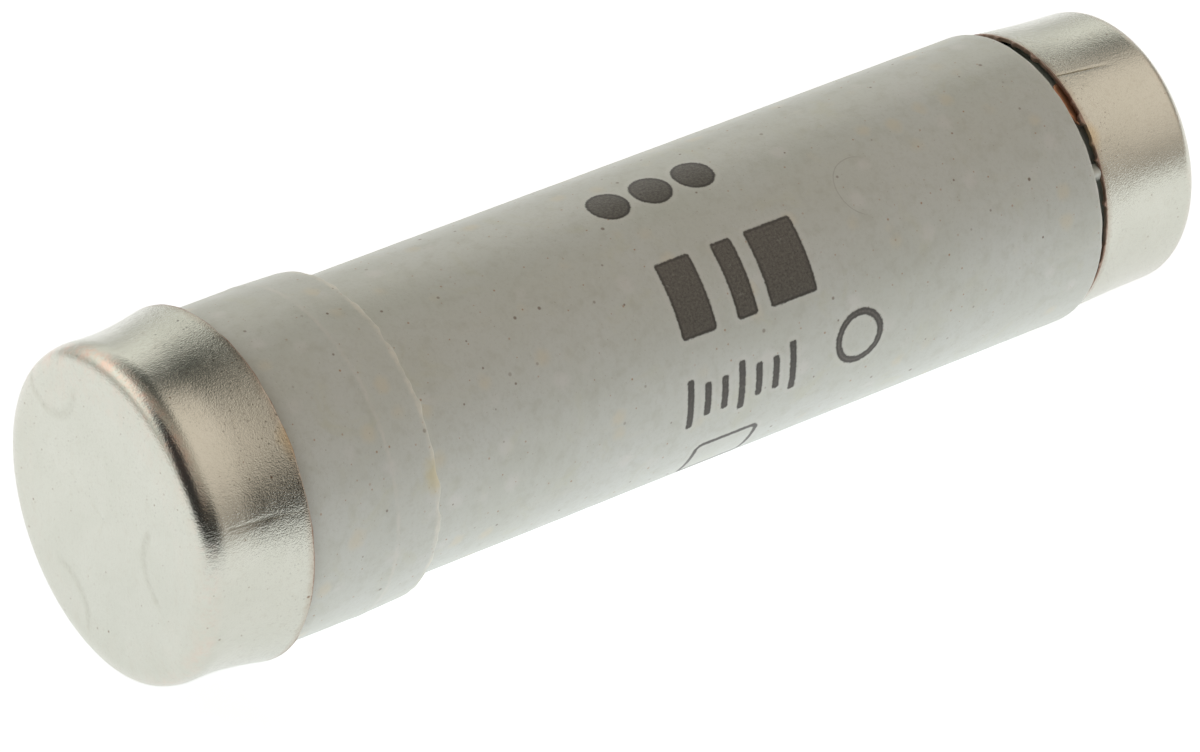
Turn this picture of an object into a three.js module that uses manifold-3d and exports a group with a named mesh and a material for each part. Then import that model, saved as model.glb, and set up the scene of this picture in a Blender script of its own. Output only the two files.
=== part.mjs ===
// A bottle-type cartridge fuse link lying on its side, in millimetres.
// +X runs from the foot contact to the head contact and +Z is up. The origin is on the surface that
// the fuse lies on, below the middle of its length. Places along the fuse are given as stations:
// distances from the foot contact's face.
import * as THREE from "three";
import { mergeVertices } from "three/addons/utils/BufferGeometryUtils.js";
import Module from "manifold-3d";

// Overall
const LENGTH = 50;
const FACETS = 24; // flats on every round piece, one of them facing straight down
const CLEARANCE = 0.1; // between a piece and the one pressed on or into it

// Ceramic body
const BODY_RADIUS = 6.12;
const COLLAR_RADIUS = 6.7;
const COLLAR_END = 10.84;
const SHOULDER = 44.3; // where the body steps down to the head neck
const EDGE_ROUNDING = 0.25;
const BORE_RADIUS = 3.7;
const FOOT_NECK_RADIUS = 5.95;
const FOOT_NECK_END = 3.6;
const HEAD_NECK_RADIUS = 5.05;

// Contact caps, drawn from sheet
const CAP_SHEET = 0.35;
const EDGE_STEPS = 4; // flats round a cap's rounded edge
const FOOT_FACE_RADIUS = 6.1;
const FOOT_BEAD_RADIUS = 6.82;
const FOOT_BEAD_STATION = 0.85;
const FOOT_WAIST_RADIUS = 6.77;
const FOOT_WAIST_STATION = 2.4;
const FOOT_FLARE_STATION = 3.6;
const FOOT_FLARE_RADIUS = 6.9;
const FOOT_RIM_RADIUS = 7.11;
const FOOT_RIM_STATION = 4.74;
const HEAD_FACE_RADIUS = 4.95;
const HEAD_BEAD_RADIUS = 5.67;
const HEAD_BEAD_STATION = LENGTH - 0.7;
const HEAD_MIDDLE_RADIUS = 5.73;
const HEAD_MIDDLE_STATION = 47.4;
const HEAD_RIM_RADIUS = 5.91;
const HEAD_RIM_STATION = 44.8;
const INDICATOR_HOLE_RADIUS = 1.65;

// Fuse elements: notched copper strips folded over both ends of the ceramic
const STRIP_WIDTH = 2;
const STRIP_THICKNESS = 0.12;
const STRIP_RADIUS = 2.45; // distance of a strip's middle from the axis, inside the bore
const STRIP_ANGLES = [34.8, 214.8]; // degrees that each strip is turned about the axis
const STRIP_HEAD_END = SHOULDER + 0.15;
const STRIP_FOOT_END = 3.2;
const STRIP_BEND = 0.3; // how far a strip is cut across the ceramic's outer edges
const NOTCH_STATIONS = [11, 18, 32, 39];
const NOTCH_RADIUS = 0.55;
const SOLDER_RADIUS = 0.85;
const SOLDER_HEIGHT = 0.35;

// Filling and seals
const SAND_START = 2.4;
const SAND_END = 46.9;
const DISC_RADIUS = 3.6;
const DISC_THICKNESS = 1;
const FOOT_DISC_START = 1.25;
const HEAD_DISC_START = 47.1;
const SLOT_DEPTH = 0.42; // of a strip's slot through a disc
const CHANNEL_DEPTH = 0.8; // of a strip's channel through the sand, which clears the solder
const CHANNEL_SIDE = 0.15; // beside a strip

// Blown-fuse indicator
const CUP_RADIUS = 1.75;
const CUP_WALL = 0.2;
const CUP_START = 45.9;
const CUP_END = 49.05;
const WIRE_HOLE_RADIUS = 0.35;
const BUTTON_RADIUS = 1.5;
const BUTTON_START = 49.2;
const BUTTON_END = 49.8; // the button sits just below the head contact's face
const STEM_RADIUS = 0.45;
const STEM_START = 47.6;
const SPRING_RADIUS = 1.15;
const SPRING_WIRE_RADIUS = 0.14;
const SPRING_TURNS = 5;
const SPRING_START = 46.3;
const SPRING_END = 49;
const WIRE_RADIUS = 0.12;
const WIRE_FACETS = 8;
const WIRE_BREAK = 25; // station where the two lengths of wire meet
const WIRE_ANGLE = 82; // degrees that the wire's folded foot end is turned about the axis

const AXIS_HEIGHT = FOOT_RIM_RADIUS;
const ROUND = 1 / Math.cos(Math.PI / FACETS); // puts the flats, not the corners, at the true radius
const FOOT_CERAMIC_END = CAP_SHEET + CLEARANCE + STRIP_THICKNESS + CLEARANCE;
const HEAD_CERAMIC_END = LENGTH - FOOT_CERAMIC_END;

const wasm = await Module();
wasm.setup();

// Turns a closed three.js geometry into a manifold-3d solid.
function toSolid(geometry) {
  const bare = geometry.clone();
  bare.deleteAttribute("normal");
  bare.deleteAttribute("uv");
  const merged = mergeVertices(bare, 1e-4);
  return new wasm.Manifold(
    new wasm.Mesh({
      numProp: 3,
      vertProperties: new Float32Array(merged.attributes.position.array),
      triVerts: new Uint32Array(merged.index.array),
    }),
  );
}

// Turns a manifold-3d solid back into a three.js geometry.
function toGeometry(solid) {
  const mesh = solid.getMesh();
  const geometry = new THREE.BufferGeometry();
  geometry.setAttribute("position", new THREE.BufferAttribute(mesh.vertProperties, 3));
  geometry.setIndex(new THREE.BufferAttribute(mesh.triVerts, 1));
  geometry.computeVertexNormals();
  return geometry;
}

// A solid of revolution about the fuse's axis. The profile is a list of [station, radius] that goes
// round the section with the outside on its left, and is closed here.
function turned(profile) {
  const points = profile.map(([station, radius]) => new THREE.Vector2(radius * ROUND, station));
  points.push(points[0].clone());
  const geometry = new THREE.LatheGeometry(points, FACETS, Math.PI / FACETS);
  return geometry.applyMatrix4(
    new THREE.Matrix4().makeBasis(
      new THREE.Vector3(0, 0, 1),
      new THREE.Vector3(1, 0, 0),
      new THREE.Vector3(0, 1, 0),
    ),
  );
}

// A prism along the fuse's axis, from an outline drawn in the plane across it (Y, Z).
function prism(shape, start, end) {
  const geometry = new THREE.ExtrudeGeometry(shape, { depth: end - start, bevelEnabled: false });
  return geometry
    .applyMatrix4(
      new THREE.Matrix4().makeBasis(
        new THREE.Vector3(0, 1, 0),
        new THREE.Vector3(0, 0, 1),
        new THREE.Vector3(1, 0, 0),
      ),
    )
    .translate(start, 0, 0);
}

// The corners of a circle's outline across the axis, with the same flats as a turned piece.
function circlePoints(radius) {
  return Array.from({ length: FACETS }, (_, i) => {
    const angle = ((2 * i + 1) * Math.PI) / FACETS;
    return new THREE.Vector2(radius * ROUND * Math.sin(angle), radius * ROUND * Math.cos(angle));
  }).reverse();
}

// A slot across the axis for one strip: a rectangle between two radii, turned to the strip's angle.
function slotPoints(inner, outer, width, degrees) {
  const turn = THREE.MathUtils.degToRad(degrees);
  const corners = [
    [-width / 2, inner],
    [-width / 2, outer],
    [width / 2, outer],
    [width / 2, inner],
  ];
  return corners.map(([y, z]) => new THREE.Vector2(y, z).rotateAround(new THREE.Vector2(), turn));
}

// A round disc across the axis with a centre hole and a slot for each strip.
function slottedDisc(radius, holeRadius, slotInner, slotOuter, start, end) {
  const shape = new THREE.Shape(circlePoints(radius));
  shape.holes.push(new THREE.Path(circlePoints(holeRadius).reverse()));
  for (const degrees of STRIP_ANGLES) {
    const width = STRIP_WIDTH + 2 * CHANNEL_SIDE;
    shape.holes.push(new THREE.Path(slotPoints(slotInner, slotOuter, width, degrees)));
  }
  return prism(shape, start, end);
}

// The outline of a bent strip seen from its edge: its middle line thickened, with mitred bends.
function bentOutline(middle, thickness) {
  const side = (sign) =>
    middle.map((point, i) => {
      const before = middle[Math.max(i - 1, 0)];
      const after = middle[Math.min(i + 1, middle.length - 1)];
      const intoBend = (i ? point.clone().sub(before) : after.clone().sub(point)).normalize();
      const outOfBend = (i < middle.length - 1 ? after.clone().sub(point) : intoBend.clone()).normalize();
      const normalIn = new THREE.Vector2(-intoBend.y, intoBend.x);
      const normalOut = new THREE.Vector2(-outOfBend.y, outOfBend.x);
      const mitre = normalIn.clone().add(normalOut).normalize();
      return point.clone().addScaledVector(mitre, (sign * thickness) / 2 / mitre.dot(normalIn));
    });
  return new THREE.Shape([...side(-1), ...side(1).reverse()]);
}

function ceramicBody() {
  const r = EDGE_ROUNDING;
  return turned([
    [FOOT_CERAMIC_END, BORE_RADIUS],
    [FOOT_CERAMIC_END, FOOT_NECK_RADIUS - r],
    [FOOT_CERAMIC_END + r, FOOT_NECK_RADIUS],
    [FOOT_NECK_END, FOOT_NECK_RADIUS],
    [FOOT_RIM_STATION, COLLAR_RADIUS - r],
    [FOOT_RIM_STATION + r, COLLAR_RADIUS],
    [COLLAR_END - r, COLLAR_RADIUS],
    [COLLAR_END, COLLAR_RADIUS - r],
    [COLLAR_END, BODY_RADIUS],
    [SHOULDER - r, BODY_RADIUS],
    [SHOULDER, BODY_RADIUS - r],
    [SHOULDER, HEAD_NECK_RADIUS],
    [HEAD_CERAMIC_END - r, HEAD_NECK_RADIUS],
    [HEAD_CERAMIC_END, HEAD_NECK_RADIUS - r],
    [HEAD_CERAMIC_END, BORE_RADIUS],
  ]);
}

// The rounded edge of a cap: a quarter of an ellipse from its face out to its bead.
function roundedEdge(faceStation, faceRadius, beadStation, beadRadius) {
  return Array.from({ length: EDGE_STEPS + 1 }, (_, i) => {
    const angle = ((Math.PI / 2) * i) / EDGE_STEPS;
    return [
      faceStation + (beadStation - faceStation) * (1 - Math.cos(angle)),
      faceRadius + (beadRadius - faceRadius) * Math.sin(angle),
    ];
  });
}

function inwards([station, radius]) {
  return [station, radius - CAP_SHEET];
}

function footContactCap() {
  const side = [
    [FOOT_WAIST_STATION, FOOT_WAIST_RADIUS],
    [FOOT_FLARE_STATION, FOOT_FLARE_RADIUS],
    [FOOT_RIM_STATION, FOOT_RIM_RADIUS],
  ];
  const insideBead = FOOT_BEAD_RADIUS - CAP_SHEET;
  return turned([
    [0, 0],
    ...roundedEdge(0, FOOT_FACE_RADIUS, FOOT_BEAD_STATION, FOOT_BEAD_RADIUS),
    ...side,
    ...side.map(inwards).reverse(),
    ...roundedEdge(CAP_SHEET, FOOT_FACE_RADIUS, FOOT_BEAD_STATION, insideBead).reverse(),
    [CAP_SHEET, 0],
  ]);
}

function headContactCap() {
  const side = [
    [HEAD_RIM_STATION, HEAD_RIM_RADIUS],
    [HEAD_MIDDLE_STATION, HEAD_MIDDLE_RADIUS],
  ];
  const insideFace = LENGTH - CAP_SHEET;
  const insideBead = HEAD_BEAD_RADIUS - CAP_SHEET;
  return turned([
    ...side,
    ...roundedEdge(LENGTH, HEAD_FACE_RADIUS, HEAD_BEAD_STATION, HEAD_BEAD_RADIUS).reverse(),
    [LENGTH, INDICATOR_HOLE_RADIUS],
    [insideFace, INDICATOR_HOLE_RADIUS],
    ...roundedEdge(insideFace, HEAD_FACE_RADIUS, HEAD_BEAD_STATION, insideBead),
    ...side.map(inwards).reverse(),
  ]);
}

// One strip, before it is turned about the axis: from its tab on the head neck, over the ceramic's
// head end, down the bore, and over the foot end to its tab on the foot neck.
function fuseElement() {
  const half = STRIP_THICKNESS / 2;
  const headTab = HEAD_NECK_RADIUS + CLEARANCE / 2 + half;
  const footTab = FOOT_NECK_RADIUS + CLEARANCE / 2 + half;
  const headFold = HEAD_CERAMIC_END + CLEARANCE / 2 + half;
  const footFold = FOOT_CERAMIC_END - CLEARANCE / 2 - half;
  const middle = [
    [STRIP_HEAD_END, headTab],
    [headFold - STRIP_BEND, headTab],
    [headFold, headTab - STRIP_BEND],
    [headFold, STRIP_RADIUS],
    [footFold, STRIP_RADIUS],
    [footFold, footTab - STRIP_BEND],
    [footFold + STRIP_BEND, footTab],
    [STRIP_FOOT_END, footTab],
  ].map(([station, radius]) => new THREE.Vector2(station, radius));
  const strip = new THREE.ExtrudeGeometry(bentOutline(middle, STRIP_THICKNESS), {
    depth: STRIP_WIDTH,
    bevelEnabled: false,
  });
  strip.translate(0, 0, -STRIP_WIDTH / 2).rotateX(Math.PI / 2);
  let solid = toSolid(strip);
  for (const station of NOTCH_STATIONS) {
    for (const edge of [-1, 1]) {
      const notch = new THREE.CylinderGeometry(NOTCH_RADIUS, NOTCH_RADIUS, 1, 12);
      notch.rotateX(Math.PI / 2).translate(station, (edge * STRIP_WIDTH) / 2, STRIP_RADIUS);
      solid = solid.subtract(toSolid(notch));
    }
  }
  return toGeometry(solid);
}

// A low round bead on the outer face of a strip at mid length.
function solderSpot() {
  const profile = [
    [0, 0],
    [SOLDER_RADIUS, 0],
    [SOLDER_RADIUS, SOLDER_HEIGHT * 0.4],
    [SOLDER_RADIUS * 0.7, SOLDER_HEIGHT * 0.85],
    [0, SOLDER_HEIGHT],
  ].map(([radius, height]) => new THREE.Vector2(radius, height));
  const bead = new THREE.LatheGeometry(profile, FACETS / 2);
  const foot = STRIP_RADIUS + STRIP_THICKNESS / 2 + CLEARANCE / 2;
  return bead.rotateX(Math.PI / 2).translate(LENGTH / 2, 0, foot);
}

// The filling: a prism that fills the bore, with channels for the strips and the wire, and cut back
// round the indicator's cup.
function quartzSand() {
  const inner = STRIP_RADIUS - STRIP_THICKNESS / 2 - CLEARANCE;
  const fill = slottedDisc(
    DISC_RADIUS,
    WIRE_HOLE_RADIUS,
    inner,
    inner + CHANNEL_DEPTH,
    SAND_START,
    SAND_END,
  );
  const round = CUP_RADIUS + CLEARANCE;
  const pocket = turned([
    [CUP_START - CLEARANCE, 0],
    [CUP_START - CLEARANCE, round],
    [SAND_END + 1, round],
    [SAND_END + 1, 0],
  ]);
  return toGeometry(toSolid(fill).subtract(toSolid(pocket)));
}

function sealingDisc(holeRadius, start) {
  const inner = STRIP_RADIUS - SLOT_DEPTH / 2;
  return slottedDisc(DISC_RADIUS, holeRadius, inner, inner + SLOT_DEPTH, start, start + DISC_THICKNESS);
}

function indicatorCup() {
  return turned([
    [CUP_START, WIRE_HOLE_RADIUS],
    [CUP_START, CUP_RADIUS],
    [CUP_END, CUP_RADIUS],
    [CUP_END, CUP_RADIUS - CUP_WALL],
    [CUP_START + CUP_WALL, CUP_RADIUS - CUP_WALL],
    [CUP_START + CUP_WALL, WIRE_HOLE_RADIUS],
  ]);
}

function indicatorButton() {
  const crown = 0.12;
  return turned([
    [STEM_START, 0],
    [STEM_START, STEM_RADIUS],
    [BUTTON_START, STEM_RADIUS],
    [BUTTON_START, BUTTON_RADIUS],
    [BUTTON_END - crown, BUTTON_RADIUS],
    [BUTTON_END, BUTTON_RADIUS * 0.7],
    [BUTTON_END, 0],
  ]);
}

// The spring's middle line.
class SpringCurve extends THREE.Curve {
  getPoint(t, target = new THREE.Vector3()) {
    const angle = t * SPRING_TURNS * 2 * Math.PI;
    const station = THREE.MathUtils.lerp(SPRING_START, SPRING_END, t);
    return target.set(station, SPRING_RADIUS * Math.cos(angle), SPRING_RADIUS * Math.sin(angle));
  }
}

// A round section swept along a curve.
function swept(curve, radius, facets, steps) {
  const section = new THREE.Shape(
    Array.from({ length: facets }, (_, i) => {
      const angle = (2 * Math.PI * i) / facets;
      return new THREE.Vector2(radius * Math.cos(angle), radius * Math.sin(angle));
    }),
  );
  return new THREE.ExtrudeGeometry(section, { extrudePath: curve, steps, bevelEnabled: false });
}

function indicatorSpring() {
  return swept(new SpringCurve(), SPRING_WIRE_RADIUS, 6, SPRING_TURNS * 16);
}

// The straight length that the button is crimped to, and that moves with it.
function indicatorWireHeadHalf() {
  const gap = CLEARANCE / 2;
  const line = new THREE.LineCurve3(
    new THREE.Vector3(WIRE_BREAK + gap, 0, 0),
    new THREE.Vector3(STEM_START - gap, 0, 0),
  );
  return swept(line, WIRE_RADIUS, WIRE_FACETS, 1);
}

// The length that stays: along the bore, over the ceramic's foot end, and back along the foot neck.
function indicatorWireFootHalf() {
  const lift = WIRE_RADIUS + CLEARANCE / 2;
  const fold = (CAP_SHEET + FOOT_CERAMIC_END) / 2;
  const neck = FOOT_NECK_RADIUS + lift;
  const bend = 0.5;
  const path = new THREE.CurvePath();
  const corners = [
    [WIRE_BREAK - CLEARANCE / 2, 0],
    [fold, 0],
    [fold, neck],
    [STRIP_FOOT_END, neck],
  ].map(([station, radius]) => new THREE.Vector3(station, 0, radius));
  let from = corners[0];
  for (let i = 1; i < corners.length - 1; i++) {
    const corner = corners[i];
    const into = corner.clone().lerp(from, bend / corner.distanceTo(from));
    const out = corner.clone().lerp(corners[i + 1], bend / corner.distanceTo(corners[i + 1]));
    path.add(new THREE.LineCurve3(from, into));
    path.add(new THREE.QuadraticBezierCurve3(into, corner, out));
    from = out;
  }
  path.add(new THREE.LineCurve3(from, corners.at(-1)));
  return swept(path, WIRE_RADIUS, WIRE_FACETS, 80);
}

const fuse = new THREE.Group();
fuse.position.set(-LENGTH / 2, 0, AXIS_HEIGHT);

function add(name, geometry, color, roughness, metalness, degrees = 0) {
  const mesh = new THREE.Mesh(
    geometry,
    new THREE.MeshStandardMaterial({ color, roughness, metalness }),
  );
  mesh.name = name;
  mesh.rotation.x = THREE.MathUtils.degToRad(degrees);
  fuse.add(mesh);
}

add("ceramic_body", ceramicBody(), 0xb9b7ae, 0.45, 0);
add("foot_contact_cap", footContactCap(), 0xc9c8bd, 0.3, 1);
add("head_contact_cap", headContactCap(), 0xc6c2b2, 0.35, 1);
STRIP_ANGLES.forEach((degrees, i) => {
  add(`fuse_element_${i + 1}`, fuseElement(), 0xb4703f, 0.35, 1, degrees);
  add(`solder_spot_${i + 1}`, solderSpot(), 0xa9abad, 0.3, 1, degrees);
});
add("quartz_sand", quartzSand(), 0xd8cfbb, 0.95, 0);
add("foot_sealing_disc", sealingDisc(WIRE_HOLE_RADIUS, FOOT_DISC_START), 0xa98f6a, 0.9, 0);
add("head_sealing_disc", sealingDisc(CUP_RADIUS + CLEARANCE, HEAD_DISC_START), 0xa98f6a, 0.9, 0);
add("indicator_cup", indicatorCup(), 0xc2a15a, 0.4, 1);
add("indicator_button", indicatorButton(), 0xe0b81c, 0.4, 0);
add("indicator_spring", indicatorSpring(), 0x9b9b9b, 0.3, 1);
add("indicator_wire_head_half", indicatorWireHeadHalf(), 0x8f8a80, 0.3, 1);
add("indicator_wire_foot_half", indicatorWireFootHalf(), 0x8f8a80, 0.3, 1, WIRE_ANGLE);

export default fuse;
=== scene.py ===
import math

import bmesh
import bpy
import numpy as np
from mathutils import Matrix, Vector


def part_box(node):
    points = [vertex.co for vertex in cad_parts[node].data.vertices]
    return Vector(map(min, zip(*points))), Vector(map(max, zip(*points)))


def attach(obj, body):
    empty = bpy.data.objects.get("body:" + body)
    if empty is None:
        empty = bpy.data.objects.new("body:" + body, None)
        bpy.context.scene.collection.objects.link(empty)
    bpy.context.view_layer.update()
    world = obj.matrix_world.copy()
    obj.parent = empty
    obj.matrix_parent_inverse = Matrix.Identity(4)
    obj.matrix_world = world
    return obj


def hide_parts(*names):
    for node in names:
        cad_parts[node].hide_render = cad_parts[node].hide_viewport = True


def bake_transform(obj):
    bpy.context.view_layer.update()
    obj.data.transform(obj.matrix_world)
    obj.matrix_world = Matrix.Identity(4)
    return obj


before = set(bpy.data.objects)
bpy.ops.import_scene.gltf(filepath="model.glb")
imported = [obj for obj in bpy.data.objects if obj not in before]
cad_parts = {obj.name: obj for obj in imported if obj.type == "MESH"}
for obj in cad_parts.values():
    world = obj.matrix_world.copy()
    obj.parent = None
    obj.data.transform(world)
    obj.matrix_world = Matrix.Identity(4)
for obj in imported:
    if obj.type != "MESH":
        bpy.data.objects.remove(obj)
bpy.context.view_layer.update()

MM = 0.001
FOOT_LOW, FOOT_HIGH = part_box("foot_contact_cap")
HEAD_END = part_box("head_contact_cap")[1].x
AXIS_START = Vector((FOOT_LOW.x, 0, (FOOT_LOW.z + FOOT_HIGH.z) / 2))
LENGTH = (HEAD_END - FOOT_LOW.x) / MM

SEGMENTS = 320  # round the large pieces
BORE_STEP = 2.0  # between rings along a plain bore
SHEET = 0.35  # thickness of a cap
COLLAR_END = 10.84
SHOULDER = 44.48
RIDGE = 8.75  # of a faint line round the collar
BODY_RADIUS = 6.12
NECK_RADIUS = 5.05  # of the ceramic below the head contact
FOOT_NECK_RADIUS = 5.95
BORE_RADIUS = 3.7
END_GAP = 0.67  # from a cap's face to the ceramic's end
FOOT_RIM = 4.74
FOOT_RIM_RADIUS = 7.11
HEAD_RIM = 44.8
HEAD_RIM_RADIUS = 5.91
HEAD_RIM_SHEET = 0.19  # the sheet's thickness at the head's cut rim
HOLE_RADIUS = 1.65  # round the indicator
FOOT_CREASE = (1.3, 4.7, 18.6, 17.0)  # first and last station, then the angle at each
HEAD_CREASE = (44.8, 47.7, 66.8, 65.4)
STRIP_ANGLES = (55.2, -124.8)
STRIP_RADIUS = 2.45
STRIP_THICKNESS = 0.12
STRIP_HALF_WIDTH = 1.0
TAB_END = 44.53  # of a strip's rounded end below the head contact
NOTCH_STATIONS = (11, 18, 32, 39)
NOTCH_RADIUS = 0.55
FOCAL_LENGTH = 249.8  # millimetres, on a sensor 36 wide
EYE = (-151.80, -223.30, 159.59)  # the camera, in millimetres from the foot contact's face
LOOK = (0.53713, 0.68354, -0.49424)  # and its direction
# (y, z, radius, middle, half) of the shallow arcs stamped in the foot's face: millimetres from the
# axis, then the direction of an arc's middle and half of its sweep in degrees.
FACE_ARCS = ((3.4, 4.8, 1.6, 270, 100), (-4.6, -0.3, 1.9, -10, 65), (3.0, -5.0, 1.8, 137.5, 62.5))


# ---------------------------------------------------------------- shape helpers


def smooth(t):
    """A smooth step from 0 at t = 0 to 1 at t = 1."""
    t = np.clip(t, 0, 1)
    return t * t * (3 - 2 * t)


def bump(x, centre, half_width):
    """1 at the centre, falling smoothly to 0 at half_width from it."""
    return smooth(1 - np.abs(x - centre) / half_width)


def wander(x, y, seed, wrap=64):
    """Smooth noise from -1 to 1. It repeats every wrap cells of x and every 64 of y."""
    table = np.random.default_rng(seed).uniform(-1, 1, (wrap, 64))
    i, j = np.floor(x).astype(int), np.floor(y).astype(int)
    fx, fy = x - i, y - j
    fx, fy = fx * fx * (3 - 2 * fx), fy * fy * (3 - 2 * fy)

    def at(di, dj):
        return table[(i + di) % wrap, (j + dj) % 64]

    near = at(0, 0) * (1 - fx) + at(1, 0) * fx
    far = at(0, 1) * (1 - fx) + at(1, 1) * fx
    return near * (1 - fy) + far * fy


def round_noise(angle, station, cells, per_mm, seed):
    """wander() laid round a turned piece, with a whole number of cells to a turn."""
    return wander(angle / (2 * np.pi) * cells, station * per_mm, seed, cells)


def rounded(points, step, closed=False, bore=0.0):
    """A profile through (station, radius, corner radius) points, with round corners, as an array of
    (station, radius) no further apart than step, or than BORE_STEP along a bore of that radius."""
    count = len(points)
    made = []
    for i, (s, r, corner) in enumerate(points):
        here = np.array((s, r), float)
        if not closed and i in (0, count - 1) or corner == 0:
            made.append(here)
            continue
        before = np.array(points[i - 1][:2], float) - here
        after = np.array(points[(i + 1) % count][:2], float) - here
        cut = min(corner, 0.48 * np.linalg.norm(before), 0.48 * np.linalg.norm(after))
        start = here + before / np.linalg.norm(before) * cut
        end = here + after / np.linalg.norm(after) * cut
        for t in np.linspace(0, 1, 7):
            made.append((1 - t) ** 2 * start + 2 * t * (1 - t) * here + t * t * end)
    if closed:
        made.append(made[0])
    fine = [made[0]]
    for a, b in zip(made, made[1:]):
        apart = BORE_STEP if max(a[1], b[1]) <= bore else step
        pieces = max(1, math.ceil(np.linalg.norm(b - a) / apart))
        fine += [a + (b - a) * k / pieces for k in range(1, pieces + 1)]
    return np.array(fine[:-1] if closed else fine)


def loft(name, rings, closed=False):
    """A closed skin over rings of points (millimetres, about the axis), as an object in the axis
    frame. Unless the rings join end to end, the first and last are closed with a fan."""
    rings = np.asarray(rings, float)
    count, around = rings.shape[:2]
    points = rings.reshape(-1, 3)
    faces = []
    for i in range(count if closed else count - 1):
        k = (i + 1) % count
        for j in range(around):
            m = (j + 1) % around
            faces.append((i * around + j, i * around + m, k * around + m, k * around + j))
    if not closed:
        points = np.vstack([points, rings[0].mean(0), rings[-1].mean(0)])
        first, last = len(points) - 2, len(points) - 1
        end = (count - 1) * around
        for j in range(around):
            m = (j + 1) % around
            faces.append((m, j, first))
            faces.append((end + j, end + m, last))
    mesh = bpy.data.meshes.new(name)
    mesh.from_pydata((points * MM).tolist(), [], faces)
    work = bmesh.new()
    work.from_mesh(mesh)
    bmesh.ops.recalc_face_normals(work, faces=work.faces)
    work.to_mesh(mesh)
    work.free()
    mesh.shade_smooth()
    piece = bpy.data.objects.new(name, mesh)
    bpy.context.scene.collection.objects.link(piece)
    piece.matrix_world = Matrix.Translation(AXIS_START)
    return piece


def revolve(name, profile, segments=SEGMENTS, closed=False, warp=None):
    """A piece turned about the axis. warp(station, radius, angle) gives new stations and radii."""
    angle = np.arange(segments) * 2 * np.pi / segments
    s = np.repeat(profile[:, :1], segments, axis=1)
    r = np.repeat(profile[:, 1:], segments, axis=1)
    a = np.broadcast_to(angle, s.shape)
    if warp:
        s, r = warp(s, r, a)
    return loft(name, np.stack([s, -r * np.cos(a), r * np.sin(a)], axis=-1), closed)


def tube(name, line, radius, sides=12):
    """A round wire along a line of points, with rounded ends."""
    line = np.asarray(line, float)
    tangent = np.gradient(line, axis=0)
    tangent /= np.linalg.norm(tangent, axis=1)[:, None]
    side = np.cross(tangent[0], (0.3, 0.5, 0.81))
    rings = []
    turn = np.arange(sides) * 2 * np.pi / sides
    for i, (p, t) in enumerate(zip(line, tangent)):
        side = side - t * (side @ t)
        side /= np.linalg.norm(side)
        up = np.cross(t, side)
        spread = np.outer(np.cos(turn), side) + np.outer(np.sin(turn), up)
        if i == 0:
            rings.append(p - t * radius * 0.5 + spread * radius * 0.6)
        rings.append(p + spread * radius)
        if i == len(line) - 1:
            rings.append(p + t * radius * 0.5 + spread * radius * 0.6)
    return loft(name, rings)


def own(piece, body, node, material):
    """Hands a finished piece to its body, in place of its CAD node."""
    piece.data.materials.append(material)
    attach(piece, body)
    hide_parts(node)
    return piece


# ------------------------------------------------------------- material helpers


class Value:
    """A shader socket that can be used in plain sums."""

    def __init__(self, net, socket):
        self.net, self.socket = net, socket

    def __add__(self, other):
        return self.net.math("ADD", self, other)

    def __radd__(self, other):
        return self.net.math("ADD", other, self)

    def __sub__(self, other):
        return self.net.math("SUBTRACT", self, other)

    def __rsub__(self, other):
        return self.net.math("SUBTRACT", other, self)

    def __mul__(self, other):
        return self.net.math("MULTIPLY", self, other)

    def __rmul__(self, other):
        return self.net.math("MULTIPLY", other, self)

    def __neg__(self):
        return self.net.math("MULTIPLY", self, -1)

    def __abs__(self):
        return self.net.math("ABSOLUTE", self)


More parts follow.
